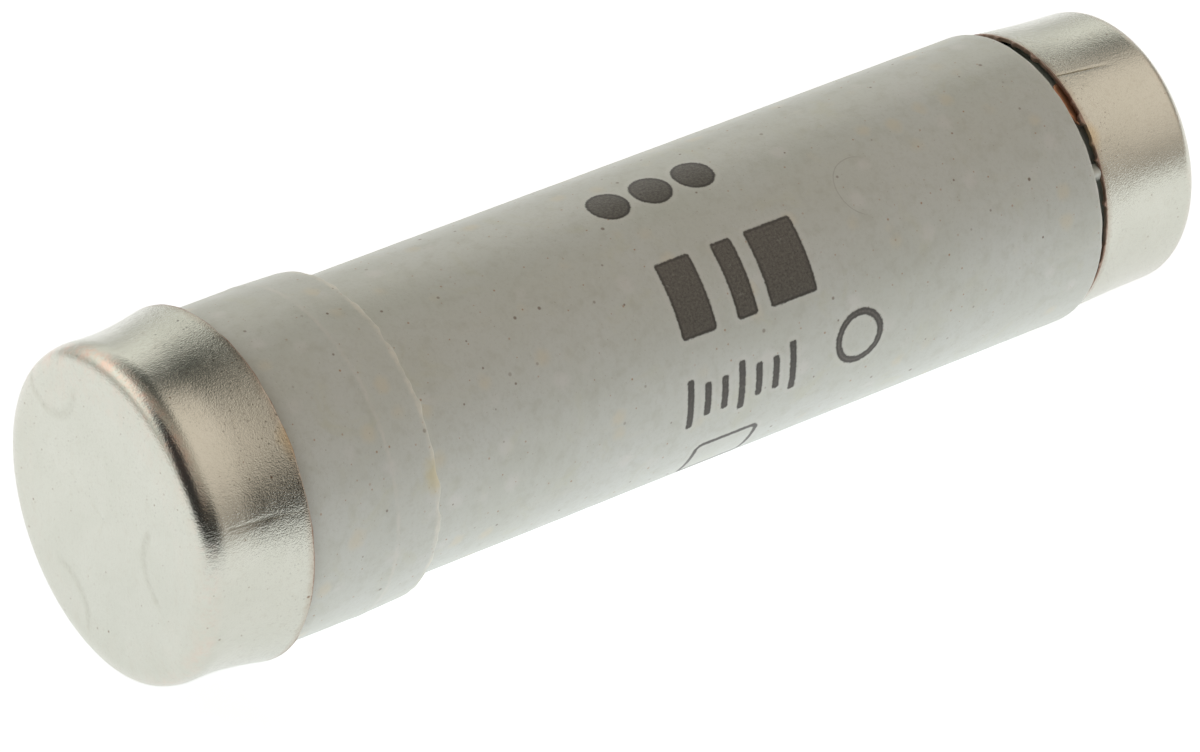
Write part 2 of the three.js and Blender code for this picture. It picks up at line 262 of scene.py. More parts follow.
class Net:
    """The node tree of a material or world."""

    def __init__(self, owner):
        owner.use_nodes = True
        self.tree = owner.node_tree
        self.tree.nodes.clear()

    def add(self, kind, values=(), **settings):
        node = self.tree.nodes.new(kind)
        for key, value in settings.items():
            setattr(node, key, value)
        for key, value in dict(values).items():
            if isinstance(value, Value):
                value = value.socket
            if isinstance(value, bpy.types.NodeSocket):
                self.tree.links.new(value, node.inputs[key])
            else:
                node.inputs[key].default_value = value
        return node

    def out(self, kind, socket, values=(), **settings):
        return Value(self, self.add(kind, values, **settings).outputs[socket])

    def math(self, operation, a, b=0.0):
        return self.out("ShaderNodeMath", 0, {0: a, 1: b}, operation=operation)

    def ramp(self, x, low, high, to_low=0.0, to_high=1.0):
        """Smooth step of x from low to high."""
        if low > high:
            low, high, to_low, to_high = high, low, to_high, to_low
        return self.out(
            "ShaderNodeMapRange",
            "Result",
            {"Value": x, "From Min": low, "From Max": high, "To Min": to_low, "To Max": to_high},
            interpolation_type="SMOOTHSTEP",
        )

    def vector(self, x, y, z):
        return self.out("ShaderNodeCombineXYZ", "Vector", {"X": x, "Y": y, "Z": z})

    def noise(self, vector, scale, detail=2.0, roughness=0.5, distortion=0.0):
        """About -1 to 1."""
        made = self.out(
            "ShaderNodeTexNoise",
            0,
            {
                "Vector": vector,
                "Scale": scale,
                "Detail": detail,
                "Roughness": roughness,
                "Distortion": distortion,
            },
        )
        return (made - 0.5) * 2

    def cells(self, vector, scale, dimensions="3D"):
        """(distance, red, green, blue) of Voronoi cells. The colours are random, one to a cell."""
        values = {"Vector": vector, "Scale": scale}
        node = self.add("ShaderNodeTexVoronoi", values, voronoi_dimensions=dimensions)
        colour = node.outputs["Color"]
        channels = (self.channel(colour, name) for name in ("Red", "Green", "Blue"))
        return Value(self, node.outputs["Distance"]), *channels

    def specks(self, vector, scale, size, share, dimensions="3D"):
        """1 on small dots of different sizes, in some of the cells, with a random depth."""
        distance, pick, depth, spread = self.cells(vector, scale, dimensions)
        dot = self.ramp(distance * (1 + spread), size, size * 0.45)
        return dot * self.ramp(pick, share, share - 0.02) * (0.4 + 0.6 * depth)

    def channel(self, colour, name):
        return self.out("ShaderNodeSeparateColor", name, {"Color": colour})

    def mix(self, share, a, b):
        """Colour a turning into colour b."""
        node = self.add(
            "ShaderNodeMix",
            {"Factor": share},
            data_type="RGBA",
            clamp_factor=True,
        )
        for key, value in (("A_Color", a), ("B_Color", b)):
            target = next(s for s in node.inputs if s.identifier == key)
            if isinstance(value, Value):
                self.tree.links.new(value.socket, target)
            else:
                target.default_value = (*value, 1)
        made = next(s for s in node.outputs if s.identifier == "Result_Color")
        return Value(self, made)

    def bump(self, height, strength, distance_mm, normal=None):
        values = {"Height": height, "Strength": strength, "Distance": distance_mm * MM}
        if normal:
            values["Normal"] = normal
        return self.out("ShaderNodeBump", "Normal", values)


class Surface(Net):
    """A material, with the point in millimetres about the axis as .point, .s, .y and .z."""

    def __init__(self, name):
        self.material = bpy.data.materials.new(name)
        super().__init__(self.material)
        place = self.add("ShaderNodeTexCoord").outputs["Object"]
        self.point = self.out(
            "ShaderNodeVectorMath", "Vector", {0: place, "Scale": 1 / MM}, operation="SCALE"
        )
        parts = self.add("ShaderNodeSeparateXYZ", {"Vector": self.point})
        self.s, self.y, self.z = (Value(self, parts.outputs[i]) for i in range(3))

    def polar(self):
        """(angle in radians, radius) of the point about the axis."""
        angle = self.math("ARCTAN2", self.z, -self.y)
        radius = self.math("SQRT", self.y * self.y + self.z * self.z)
        return angle, radius

    def finish(self, colour, roughness, normal, metallic=0.0, **fixed):
        values = {"Base Color": colour, "Roughness": roughness, "Normal": normal}
        values["Metallic"] = metallic
        values.update(fixed)
        shader = self.add("ShaderNodeBsdfPrincipled", values)
        surface = {"Surface": shader.outputs["BSDF"]}
        self.add("ShaderNodeOutputMaterial", surface)
        return self.material


# ---------------------------------------------------------------------- porcelain


def ink_distance(net, s, u):
    """Signed distance in millimetres to the printed marks: plain bars, discs, ticks and rings."""

    def box(s0, u0, half_s, half_u, corner=0.15):
        ds = net.math("MAXIMUM", abs(s - s0) - (half_s - corner), 0)
        du = net.math("MAXIMUM", abs(u - u0) - (half_u - corner), 0)
        return net.math("SQRT", ds * ds + du * du) - corner

    def disc(s0, u0, radius):
        ds, du = s - s0, u - u0
        return net.math("SQRT", ds * ds + du * du) - radius

    def ring(shape, half_line):
        return abs(shape) - half_line

    bold = [disc(station, 8.9, 0.88) for station in (23.5, 25.6, 27.7)]
    bold += [
        box(24.15, 3.95, 0.85, 1.6),
        box(26.55, 3.95, 0.5, 1.6),
        box(28.85, 3.95, 1.15, 1.6),
    ]
    fine = [box(23.35 + 0.85 * k, -0.35, 0.16, 1.1 if k % 3 == 0 else 0.75, 0.1) for k in range(7)]
    fine.append(ring(disc(31.8, -0.2, 1.05), 0.15))
    fine.append(ring(box(25.7, -4.0, 1.5, 1.1, 0.3), 0.1))
    whole = bold[0]
    for shape in bold[1:] + fine:
        whole = net.math("MINIMUM", whole, shape)
    return whole


def porcelain():
    """Pale, speckled fired clay, with ink stamped on it."""
    net = Surface("porcelain")
    angle, radius = net.polar()
    u = angle * BODY_RADIUS  # millimetres round the body
    sheet = net.vector(net.s, u, 0.0)

    clouds = net.noise(net.point, 0.22, 3, 0.55, 0.6)
    mottle = net.noise(net.point, 1.6, 3, 0.6)
    fine = net.noise(net.point, 6.5, 3, 0.65)
    streaks = net.noise(net.vector(net.s * 0.25, u * 1.3, radius), 0.9, 3, 0.6, 0.4)
    colour = net.mix(net.ramp(clouds, -0.7, 0.7), (0.608, 0.645, 0.59), (0.662, 0.70, 0.67))
    colour = net.mix(net.ramp(mottle, -0.1, 0.55, 0, 0.5), colour, (0.53, 0.555, 0.49))
    colour = net.mix(net.ramp(streaks, 0.15, 0.7, 0, 0.4), colour, (0.68, 0.70, 0.635))
    colour = net.mix(net.ramp(fine, -0.1, 0.6, 0, 0.4), colour, (0.52, 0.54, 0.485))
    warm = net.noise(net.vector(net.s, u, 7.0), 0.45, 4, 0.65, 0.8)
    colour = net.mix(net.ramp(warm, 0.05, 0.7, 0, 0.6), colour, (0.60, 0.62, 0.485))

    # Creamy blotches and whitish smears, then fine specks of three sizes in the fired clay.
    distance, chosen, _, _ = net.cells(net.point, 0.7)
    soft = net.ramp(distance + 0.14 * mottle + 0.05 * fine, 0.36, 0.08)
    colour = net.mix(soft * net.ramp(chosen, 0.66, 0.7, 0, 0.55), colour, (0.70, 0.665, 0.53))
    colour = net.mix(soft * net.ramp(chosen, 0.34, 0.3, 0, 0.5), colour, (0.735, 0.745, 0.72))
    for scale, size, share, strength, tint in (
        (0.85, 0.09, 0.20, 0.85, (0.17, 0.115, 0.075)),
        (1.7, 0.11, 0.18, 0.8, (0.40, 0.23, 0.11)),
        (3.4, 0.14, 0.12, 0.5, (0.36, 0.33, 0.26)),
    ):
        dots = net.specks(sheet, scale, size, share, "2D")
        colour = net.mix(dots * strength, colour, tint)

    # A creamy, ragged edge on the collar's step, partly a painted highlight, a painted highlight
    # along a faint ridge, and one yellow stain beside it.
    ragged = 0.06 * net.noise(sheet, 3.0, 3, 0.7)
    patchy = net.ramp(net.noise(sheet, 1.3, 3, 0.7), -0.3, 0.35, 0.25, 0.9)
    edge = net.ramp(abs(net.s - (COLLAR_END - 0.08) + 2 * ragged), 0.26, 0.04)
    colour = net.mix(edge * patchy, colour, (0.80, 0.795, 0.71))
    ridge = net.ramp(abs(net.s - RIDGE - 2 * ragged), 0.14, 0.02)
    colour = net.mix(ridge * patchy * 0.6, colour, (0.73, 0.73, 0.68))
    ds, du = (net.s - 10.6) * 1.5, u - 1.23
    stain = net.ramp(net.math("SQRT", ds * ds + du * du) + 5 * ragged, 1.0, 0.1)
    colour = net.mix(stain * 0.5, colour, (0.70, 0.61, 0.30))

    # A fibre burnt into the surface.
    ds, du = net.s - 33.9, u - 5.6
    loop = abs(net.math("SQRT", ds * ds + du * du) - 1.3 + 0.5 * ragged)
    hair = net.ramp(loop, 0.03, 0.008) * net.ramp(ds - 0.5 * du, 0.2, -0.3)
    colour = net.mix(hair * 0.4, colour, (0.33, 0.33, 0.30))

    # Ink: brown-grey and grainy, with a darker outline where it was stamped and a pale halo.
    wobble = 0.045 * net.noise(sheet, 4.5, 3, 0.65) + 0.05 * net.noise(sheet, 12, 2, 0.6)
    distance = ink_distance(net, net.s, u) + wobble
    outside = net.ramp(radius, BODY_RADIUS - 0.5, BODY_RADIUS - 0.2)
    grain = net.noise(sheet, 9, 4, 0.75)
    worn = net.ramp(net.noise(sheet, 1.6, 3, 0.7) + 0.5 * grain, 0.2, 1.0, 0, 0.38)
    printed = net.ramp(distance, 0.04, -0.03) * outside
    outline = net.ramp(abs(distance + 0.06), 0.09, 0.02) * printed
    halo = net.ramp(abs(distance - 0.12), 0.14, 0.02) * outside
    colour = net.mix(halo * 0.22, colour, (0.76, 0.77, 0.74))
    ink = net.mix(net.ramp(grain, -0.45, 0.5), (0.05, 0.048, 0.04), (0.16, 0.152, 0.128))
    ink = net.mix(outline * 0.8, ink, (0.035, 0.032, 0.027))
    colour = net.mix(printed * (0.98 - worn), colour, ink)

    skin = net.noise(net.point, 2.2, 4, 0.6)
    hollow, _, _, _ = net.cells(sheet, 3.4, "2D")
    normal = net.bump(skin, 0.16, 0.05)
    normal = net.bump(net.ramp(hollow, 0.02, 0.14), 0.3, 0.02, normal)
    normal = net.bump(fine, 0.3, 0.008, normal)
    normal = net.bump(printed * (1 + 0.5 * grain), 0.5, 0.025, normal)
    roughness = 0.36 + 0.05 * clouds + 0.05 * skin - 0.04 * printed
    return net.finish(colour, roughness, normal)


def ceramic_warp(s, r, a):
    """Ragged edges, the collar's ridge, and the slight unevenness of fired clay."""
    outer = smooth((r - 5.6) / 0.3)
    chips = 0.6 * round_noise(a, s * 0, 60, 1, 11) + 0.4 * round_noise(a, s * 0, 150, 1, 12)
    s = s + 0.12 * chips * bump(s, COLLAR_END, 0.6) * outer
    s = s + 0.03 * chips * bump(s, SHOULDER, 0.3) * outer
    r = r + 0.02 * bump(s, RIDGE + 0.12 * chips, 0.35) * outer
    r = r + 0.012 * round_noise(a, s, 9, 0.12, 13) * outer
    r = r + 0.004 * round_noise(a, s, 48, 1.1, 14) * outer
    return s, r


def ceramic_body():
    """A tube with a collar at its foot end, and a neck under each cap."""
    start, end = END_GAP, LENGTH - END_GAP
    profile = rounded(
        [
            (start, BORE_RADIUS, 0.2),
            (start, FOOT_NECK_RADIUS, 0.3),
            (3.3, FOOT_NECK_RADIUS, 0.6),
            (4.3, 6.48, 0.5),
            (5.1, 6.7, 0.6),
            (8.9, 6.7, 0.5),
            (COLLAR_END, 6.63, 0.13),
            (COLLAR_END, BODY_RADIUS, 0.16),
            (SHOULDER, BODY_RADIUS, 0.24),
            (SHOULDER, NECK_RADIUS + 0.37, 0.12),  # a fillet, seen in the gap below the head
            (45.2, NECK_RADIUS + 0.3, 0.2),
            (45.8, NECK_RADIUS, 0.2),
            (end, NECK_RADIUS, 0.3),
            (end, BORE_RADIUS, 0.2),
        ],
        0.3,
        closed=True,
        bore=BORE_RADIUS,
    )
    return revolve("ceramic_body_fired", profile, closed=True, warp=ceramic_warp)


def ceramic_nib():
    """A blob of fired glaze that bridges the gap below the head contact."""
    middle = math.radians(24.6)
    rings = []
    for t in np.linspace(0, 1, 14):
        station = SHOULDER - 0.12 + 0.5 * t
        height, width = 0.52 - 0.08 * t, 0.34 - 0.08 * math.sin(math.pi * t) ** 2
        ring = []
        for k in np.arange(20) * 2 * np.pi / 20:
            r = 5.5 + height * np.sin(k)
            a = middle + (width + 0.03 * math.sin(3 * k)) / r * np.cos(k)
            ring.append((station, -r * math.cos(a), r * math.sin(a)))
        rings.append(ring)
    return loft("ceramic_glaze_drip", rings)


# ------------------------------------------------------------------- plated metal


def plated(name, side):
    """Satin plating on drawn sheet. side is the foot or the head contact."""
    net = Surface(name)
    angle, radius = net.polar()
    u = angle * 6.5  # millimetres round a cap
    foot = side == "foot"
    depth = net.s if foot else LENGTH - net.s  # from the cap's own face
    rim = FOOT_RIM if foot else LENGTH - HEAD_RIM

    clouds = net.noise(net.point, 0.5, 3, 0.6, 0.4)
    mottle = net.noise(net.point, 2.2, 3, 0.65)
    grain = net.noise(net.point, 7.5, 3, 0.7)
    fine = net.noise(net.point, 16.0, 2, 0.6)
    colour = net.mix(net.ramp(clouds, -0.8, 0.8), (0.578, 0.592, 0.525), (0.622, 0.633, 0.570))
    colour = net.mix(net.ramp(grain, 0.0, 0.8, 0, 0.5), colour, (0.44, 0.43, 0.375))
    colour = net.mix(net.ramp(mottle, 0.0, 0.7, 0, 0.45), colour, (0.54, 0.535, 0.46))

    # Base metal shows through on the worn rounded edge; its pinkish tint is also a painted
    # reflection of the warm light, strongest on the upper side.
    reflection_side = net.ramp(abs(angle - math.radians(85)), 1.15, 0.35, 0.3, 1.0)
    worn = net.ramp(net.noise(net.point, 1.3, 3, 0.7) + 0.5 * grain, -0.4, 0.7)
    edge = net.ramp(abs(depth - 0.4), 0.5, 0.12) * net.ramp(radius, 4.6, 5.0) * reflection_side
    colour = net.mix(edge * worn * (0.95 if foot else 0.5), colour, (0.74, 0.55, 0.46))

    # The cut rim is bare and brown, with grime beside it and a stain on the foot's.
    near = net.ramp(depth + 0.12 * mottle + 0.1 * grain, rim - 0.4, rim - 0.02)
    colour = net.mix(near * 0.45, colour, (0.40, 0.32, 0.24))
    pitted = net.ramp(depth + 0.8 * mottle, 1.5 if foot else 2.6, rim) + (0.25 if foot else 0.3)
    deepest = 0.75 if foot else 0.4
    lit = net.ramp(angle, math.radians(13), math.radians(25), 0.2, deepest)
    pits = net.specks(net.point, 6.5, 0.42, 0.5) * pitted * lit
    colour = net.mix(pits, colour, (0.15, 0.14, 0.115))
    cut = net.ramp(depth + 0.05 * grain, rim - 0.09, rim - 0.02)
    brown = net.ramp(mottle, -0.6, 0.6, 0.95, 0.6)
    colour = net.mix(cut * brown, colour, (0.30, 0.18, 0.135))
    ds, du = (depth - rim + 0.1) * 1.6, u - 4.4
    stain = net.ramp(net.math("SQRT", ds * ds + du * du) + 0.35 * mottle, 0.9, 0.1)
    colour = net.mix(stain * 0.45, colour, (0.62, 0.49, 0.27))
    for scale, size, share, tint in (
        (1.2, 0.1, 0.6, (0.20, 0.12, 0.07)),
        (2.6, 0.15, 0.3, (0.26, 0.2, 0.14)),
    ):
        colour = net.mix(net.specks(net.point, scale, size, share) * 0.85, colour, tint)

    # Painted shade in the grooves of the stamped arcs, and along the drawing crease.
    if foot:
        for y0, z0, size, middle, half in FACE_ARCS:
            dy, dz = net.y - y0, net.z - z0
            off = abs(net.math("SQRT", dy * dy + dz * dz) - size)
            way = dy * math.cos(math.radians(middle)) + dz * math.sin(math.radians(middle))
            limit = size * math.cos(math.radians(half))
            groove = net.ramp(off + 0.08 * mottle, 0.34, 0.02)
            reach = net.ramp(way, limit, limit + 0.4 * size)
            on_face = net.ramp(net.s, 0.25, 0.1)
            uneven = net.ramp(mottle + 0.5 * grain, -0.5, 0.5, 0.3, 1)
            arc_shade = groove * reach * on_face * uneven
            colour = net.mix(arc_shade * 0.36, colour, (0.40, 0.40, 0.33))
    start, end, first, last = FOOT_CREASE if foot else HEAD_CREASE
    line = first + (net.s - start) * ((last - first) / (end - start))
    off = abs(angle - math.radians(1) * line) * 6.3  # millimetres beside the line
    along = net.ramp(net.s, start - 0.1, start + 0.2) * net.ramp(net.s, end + 0.1, end - 1.4)
    # The dark line along the crease is painted shade.
    crease_shade = net.ramp(off + 0.015 * grain, 0.05, 0.015) * along
    colour = net.mix(crease_shade * (0.5 if foot else 0.8), colour, (0.20, 0.17, 0.10))

    drawn = net.noise(net.vector(net.s * 0.25, u * 4, radius), 2.0, 3, 0.7)
    normal = net.bump(drawn, 0.08, 0.02)
    normal = net.bump(mottle, 1.0, 0.003, normal)
    normal = net.bump(grain, 1.0, 0.0032, normal)
    normal = net.bump(fine * (0.7 + 0.8 * pitted), 1.0, 0.005, normal)
    roughness = 0.2 + 0.05 * clouds + 0.12 * net.ramp(grain, 0.0, 0.8) + 0.3 * cut
    return net.finish(colour, roughness, normal, metallic=1.0)


def crease(s, a, start, end, angle_start, angle_end, half_width):
    """A narrow line along a cap's side, from 0 off it to 1 on it."""
    t = np.clip((s - start) / (end - start), 0, 1)
    line = np.radians(angle_start + (angle_end - angle_start) * t)
    off = np.angle(np.exp(1j * (a - line))) * 6.4  # millimetres beside the line
    along = smooth((s - start + 0.15) / 0.3) * smooth((end - s + 0.15) / 0.6)
    return smooth(1 - np.abs(off) / half_width) * along


def foot_cap():
    """The larger cap: a flat face with stamped arcs, a bead, a waist and a flared rim."""
    profile = rounded(
        [
            (0, 0.03, 0),
            (0, 6.1, 0.4),
            (0.25, 6.62, 0.35),
            (0.85, 6.82, 0.4),
            (1.5, 6.78, 0.4),
            (2.4, 6.77, 0.7),
            (3.6, 6.9, 0.7),
            (FOOT_RIM, FOOT_RIM_RADIUS, 0.08),
            (FOOT_RIM, FOOT_RIM_RADIUS - SHEET, 0.12),
            (3.6, 6.9 - SHEET, 0.7),
            (2.4, 6.77 - SHEET, 0.7),
            (0.85, 6.82 - SHEET, 0.4),
            (SHEET, 6.1, 0.5),
            (SHEET, 0.03, 0),
        ],
        0.16,
    )

    def warp(s, r, a):
        outside = s < 0.5 * SHEET
        y, z = -r * np.cos(a), r * np.sin(a)
        groove = np.zeros_like(s)
        for y0, z0, radius, middle, half in FACE_ARCS:
            off = np.abs(np.hypot(y - y0, z - z0) - radius)
            turn = np.degrees(np.arctan2(z - z0, y - y0))
            aside = np.abs(np.mod(turn - middle + 180, 360) - 180)
            groove = np.maximum(groove, smooth(1 - off / 0.22) * smooth((half - aside) / 25))
        s = s + 0.022 * groove * outside
        s = s + 0.012 * round_noise(a, r, 5, 0.25, 21) * outside * smooth((5.9 - r) / 2)
        r = r - 0.02 * crease(s, a, *FOOT_CREASE, 0.09) * (r > 6.3)
        r = r + 0.018 * round_noise(a, s, 7, 0.35, 22) * smooth(s / 0.8)
        s = s + 0.035 * round_noise(a, s * 0, 70, 1, 23) * bump(s, FOOT_RIM, 0.5)
        return s, r

    piece = revolve("foot_contact_cap_drawn", profile, warp=warp)
    place_crooked(piece, 0, (0, 0.09, 0.13), (1, -0.022, -0.008))
    return piece


def head_cap():
    """The smaller cap, with the indicator's hole in its face and a ragged cut rim."""
    profile = rounded(
        [
            (HEAD_RIM, HEAD_RIM_RADIUS - HEAD_RIM_SHEET, 0.04),
            (HEAD_RIM, HEAD_RIM_RADIUS, 0.05),
            (47.4, 5.73, 0.8),
            (49.45, 5.66, 0.35),
            (49.78, 5.42, 0.3),
            (LENGTH, 4.95, 0.3),
            (LENGTH, HOLE_RADIUS, 0.1),
            (LENGTH - SHEET, HOLE_RADIUS, 0.1),
            (LENGTH - SHEET, 4.85, 0.4),
            (49.2, 5.67 - SHEET, 0.4),
            (47.4, 5.73 - SHEET, 0.8),
            (45.8, 5.84 - SHEET, 0.5),
        ],
        0.16,
        closed=True,
    )

    def warp(s, r, a):
        r = r - 0.018 * crease(s, a, *HEAD_CREASE, 0.09) * (r > 5.5)
        r = r + 0.02 * round_noise(a, s, 7, 0.3, 31) * smooth((LENGTH - s) / 1.2)
        cut = 0.6 * round_noise(a, s * 0, 60, 1, 33) + 0.4 * round_noise(a, s * 0, 190, 1, 34)
        burr = np.maximum(round_noise(a, s * 0, 160, 1, 35) - 0.45, 0) * 2
        s = s + (0.055 * cut - 0.11 * burr) * bump(s, HEAD_RIM, 0.45)
        return s, r

    piece = revolve("head_contact_cap_drawn", profile, 480, closed=True, warp=warp)
    place_crooked(piece, LENGTH, (0, -0.07, -0.10), (1, -0.006, -0.030))
    return piece


def place_crooked(piece, station, offset, axis):
    """Turns a cap a little about the middle of its face, as it was pressed on."""
    turn = Vector((1, 0, 0)).rotation_difference(Vector(axis)).to_matrix().to_4x4()
    face = Vector((station, 0, 0)) * MM
    place = Matrix.Translation(AXIS_START + face + Vector(offset) * MM)
    piece.matrix_world = place @ turn @ Matrix.Translation(-face)


# ------------------------------------------------------------------- inner pieces


def metal(name, low, high, roughness, scale, tarnish, metallic=1.0):
    """A bare metal, low to high in colour over clouds of a scale, with tarnish, fine drawing lines
    and grain."""
    net = Surface(name)
    clouds = net.noise(net.point, scale, 4, 0.65, 0.5)
    grain = net.noise(net.point, 16, 3, 0.65)
    lines = net.noise(net.vector(net.s * 0.3, net.y * 6, net.z * 6), 3.0, 3, 0.7)
    colour = net.mix(net.ramp(clouds, -0.7, 0.7), low, high)
    spots = net.ramp(clouds + 0.4 * grain, 0.25, 0.9, 0, 0.4)
    colour = net.mix(spots, colour, tarnish)
    normal = net.bump(lines, 0.2, 0.01)
    normal = net.bump(grain, 0.2, 0.008, normal)
    rough = roughness + 0.08 * clouds + 0.05 * lines
    return net.finish(colour, rough, normal, metallic=metallic)


def strip(name, degrees):
    """A notched copper strip, folded over both ends of the ceramic and down on its necks."""
    tab, foot_tab = NECK_RADIUS + 0.11, FOOT_NECK_RADIUS + 0.11
    path = rounded(
        [
            (TAB_END, 5.7, 0),
            (44.7, 5.69, 0.2),
            (45.1, 5.58, 0.3),
            (46.0, 5.3, 0.4),
            (46.8, tab, 0.5),
            (49.44, tab, 0.35),
            (49.44, STRIP_RADIUS, 0.4),
            (0.56, STRIP_RADIUS, 0.4),
            (0.56, foot_tab, 0.35),
            (3.2, foot_tab, 0),
        ],
        0.12,
    )
    direction = np.gradient(path, axis=0)
    direction /= np.linalg.norm(direction, axis=1)[:, None]
    normal = np.stack([-direction[:, 1], direction[:, 0]], axis=1)
    across = np.linspace(-1, 1, 11)
    rings = []
    for (s, r), (ns, nr) in zip(path, normal):
        half = STRIP_HALF_WIDTH
        if abs(r - STRIP_RADIUS) < 0.3:
            for station in NOTCH_STATIONS:
                bite = math.sqrt(max(NOTCH_RADIUS**2 - (s - station) ** 2, 0))
                half = min(half, STRIP_HALF_WIDTH - bite)
        if s < TAB_END + 0.5:
            half = max(math.sqrt(max(1 - ((TAB_END + 0.5 - s) / 0.5) ** 2, 0)), 0.03)
        curl = min(max((r - 4.2) / 0.6, 0), 1)
        ring = []
        for sign, order in ((1, across), (-1, across[::-1])):
            for k in order:
                edge = 1 - 0.25 * (abs(k) > 0.99)
                lift = sign * STRIP_THICKNESS / 2 * edge
                y, z = k * half, r + nr * lift
                z -= curl * (z - math.sqrt(z * z - y * y))
                ring.append((s + ns * lift, y, z))
        rings.append(ring)
    rings = np.array(rings)
    turn = math.radians(degrees)
    y, z = rings[..., 1].copy(), rings[..., 2].copy()
    rings[..., 1] = y * math.sin(turn) - z * math.cos(turn)
    rings[..., 2] = y * math.cos(turn) + z * math.sin(turn)
    return loft(name, rings)


def solder(name, degrees):
    """A tin spot, as it set on the outer face of a strip."""
    rng = np.random.default_rng(int(abs(degrees)))
    lobes = rng.uniform(-1, 1, 4) * 0.05
    turn = np.arange(48) * 2 * np.pi / 48
    outline = 1 + sum(l * np.cos((k + 2) * turn + 3 * l) for k, l in enumerate(lobes))
    foot = STRIP_RADIUS + 0.11
    centre = math.radians(degrees)
    rings = []
    for t in np.linspace(0, 1, 14)[:-1]:
        radius = 0.85 * math.cos(t * math.pi / 2) ** 0.6 * outline
        height = foot + 0.35 * math.sin(t * math.pi / 2)
        x, y = LENGTH / 2 + radius * np.cos(turn), radius * np.sin(turn)
        rings.append(
            np.stack(
                [
                    x,
                    y * math.sin(centre) - height * math.cos(centre),
                    y * math.cos(centre) + height * math.sin(centre),
                ],
                axis=-1,
            )
        )
    return loft(name, rings)


def tin():
    """Dull, frosted tin, as it set."""
    net = Surface("tin")
    skin = net.noise(net.point, 2.4, 4, 0.6, 0.8)
    frost = net.noise(net.point, 14, 2)
    colour = net.mix(net.ramp(skin, -0.6, 0.6), (0.60, 0.61, 0.62), (0.74, 0.75, 0.76))
    normal = net.bump(skin, 0.35, 0.04)
    normal = net.bump(frost, 0.2, 0.01, normal)
    return net.finish(colour, 0.34 + 0.1 * skin + 0.06 * frost, normal, metallic=1.0)


def grains():
    """Packed quartz sand."""
    net = Surface("quartz_sand_grains")
    distance, pick, tint, _ = net.cells(net.point, 3.2)
    colour = net.mix(pick, (0.66, 0.60, 0.48), (0.90, 0.87, 0.79))
    colour = net.mix(net.ramp(tint, 0.86, 0.9, 0, 0.6), colour, (0.45, 0.36, 0.26))
    height = net.ramp(distance, 0.55, 0.05)
    normal = net.bump(height, 0.8, 0.12)
    normal = net.bump(net.noise(net.point, 12, 3), 0.3, 0.02, normal)
    return net.finish(colour, 0.72 - 0.3 * net.ramp(pick, 0.7, 0.9), normal)


def fibre():
    """Pressed fibre board."""
    net = Surface("fibre_board")
    strands = net.noise(net.vector(net.s * 9, net.y, net.z), 2.6, 5, 0.75, 1.4)
    flecks = net.noise(net.point, 7, 3, 0.7, 0.8)
    colour = net.mix(net.ramp(strands, -0.6, 0.6), (0.42, 0.33, 0.21), (0.66, 0.55, 0.39))
    colour = net.mix(net.ramp(flecks, 0.35, 0.8, 0, 0.5), colour, (0.30, 0.21, 0.12))
    normal = net.bump(strands, 0.5, 0.06)
    return net.finish(colour, 0.85 + 0.06 * flecks, normal)


def enamel():
    """The yellow paint of the indicator button, with orange peel and a few scuffs."""
    net = Surface("indicator_enamel")
    peel = net.noise(net.point, 3.4, 2, 0.5)
    scuffs = net.noise(net.vector(net.s, net.y * 7, net.z), 1.7, 4, 0.8, 0.6)
    colour = net.mix(net.ramp(peel, -0.8, 0.8), (0.80, 0.55, 0.03), (0.88, 0.64, 0.05))
    worn = net.ramp(scuffs, 0.5, 0.85)
    colour = net.mix(worn * 0.5, colour, (0.52, 0.42, 0.22))
    normal = net.bump(peel, 0.15, 0.03)
    normal = net.bump(scuffs, 0.12, 0.01, normal)
    return net.finish(colour, 0.28 + 0.25 * worn + 0.04 * peel, normal)


def button():
    """Stem, underside and a crowned head with a small centre dimple."""
    profile = rounded(
        [
            (47.6, 0.02, 0),
            (47.6, 0.3, 0.1),
            (47.72, 0.45, 0.1),
            (48.95, 0.45, 0.15),
            (49.2, 0.7, 0.2),
            (49.2, 1.5, 0.1),
            (49.6, 1.5, 0.14),
            (49.78, 1.15, 0.3),
            (49.8, 0.35, 0.1),
            (49.74, 0.2, 0.1),
            (49.74, 0.02, 0),
        ],
        0.06,
    )
    return revolve("indicator_button_painted", profile, 96)


def cup():
    """A drawn cup, with a hole in its floor for the wire."""
    profile = rounded(
        [
            (45.9, 0.35, 0.05),
            (45.9, 1.75, 0.35),
            (49.05, 1.75, 0.08),
            (49.05, 1.55, 0.08),
            (46.1, 1.55, 0.2),
            (46.1, 0.35, 0.05),
        ],
        0.1,
        closed=True,
    )
    return revolve("indicator_cup_drawn", profile, 96, closed=True)


def spring():
    """A coil of five turns, closer together at both ends."""
    turns = 5
    t = np.linspace(0, 1, turns * 40 + 1)
    rise = t - 0.045 * np.sin(4 * np.pi * t)
    first, length = 46.3, 2.7  # the station of its fixed end, and its length at rest
    station = first + length * rise
    turn = t * turns * 2 * np.pi
    coil_radius, wire_radius = 1.15, 0.14
    line = np.stack([station, coil_radius * np.cos(turn), coil_radius * np.sin(turn)], axis=1)
    return tube("indicator_spring_coiled", line, wire_radius, 10)


def wire_head_half():
    """From mid length to the button's stem, not quite straight."""
    x = np.linspace(25.05, 47.55, 90)
    line = np.stack([x, 0.02 * np.sin(x * 0.9), 0.02 * np.sin(x * 0.7 + 1)], axis=1)
    return tube("indicator_wire_head_drawn", line, 0.12)


def wire_foot_half():
    """Along the bore, over the ceramic's foot end, and back along the foot neck."""
    fold, neck = 0.51, FOOT_NECK_RADIUS + 0.17
    path = rounded([(24.95, 0, 0), (fold, 0, 0.5), (fold, neck, 0.5), (3.2, neck, 0)], 0.12)
    turn = math.radians(8)
    line = [(s, -r * math.cos(turn), r * math.sin(turn)) for s, r in path]
    return tube("indicator_wire_foot_drawn", line, 0.12)


# ------------------------------------------------------------------ dress the fuse

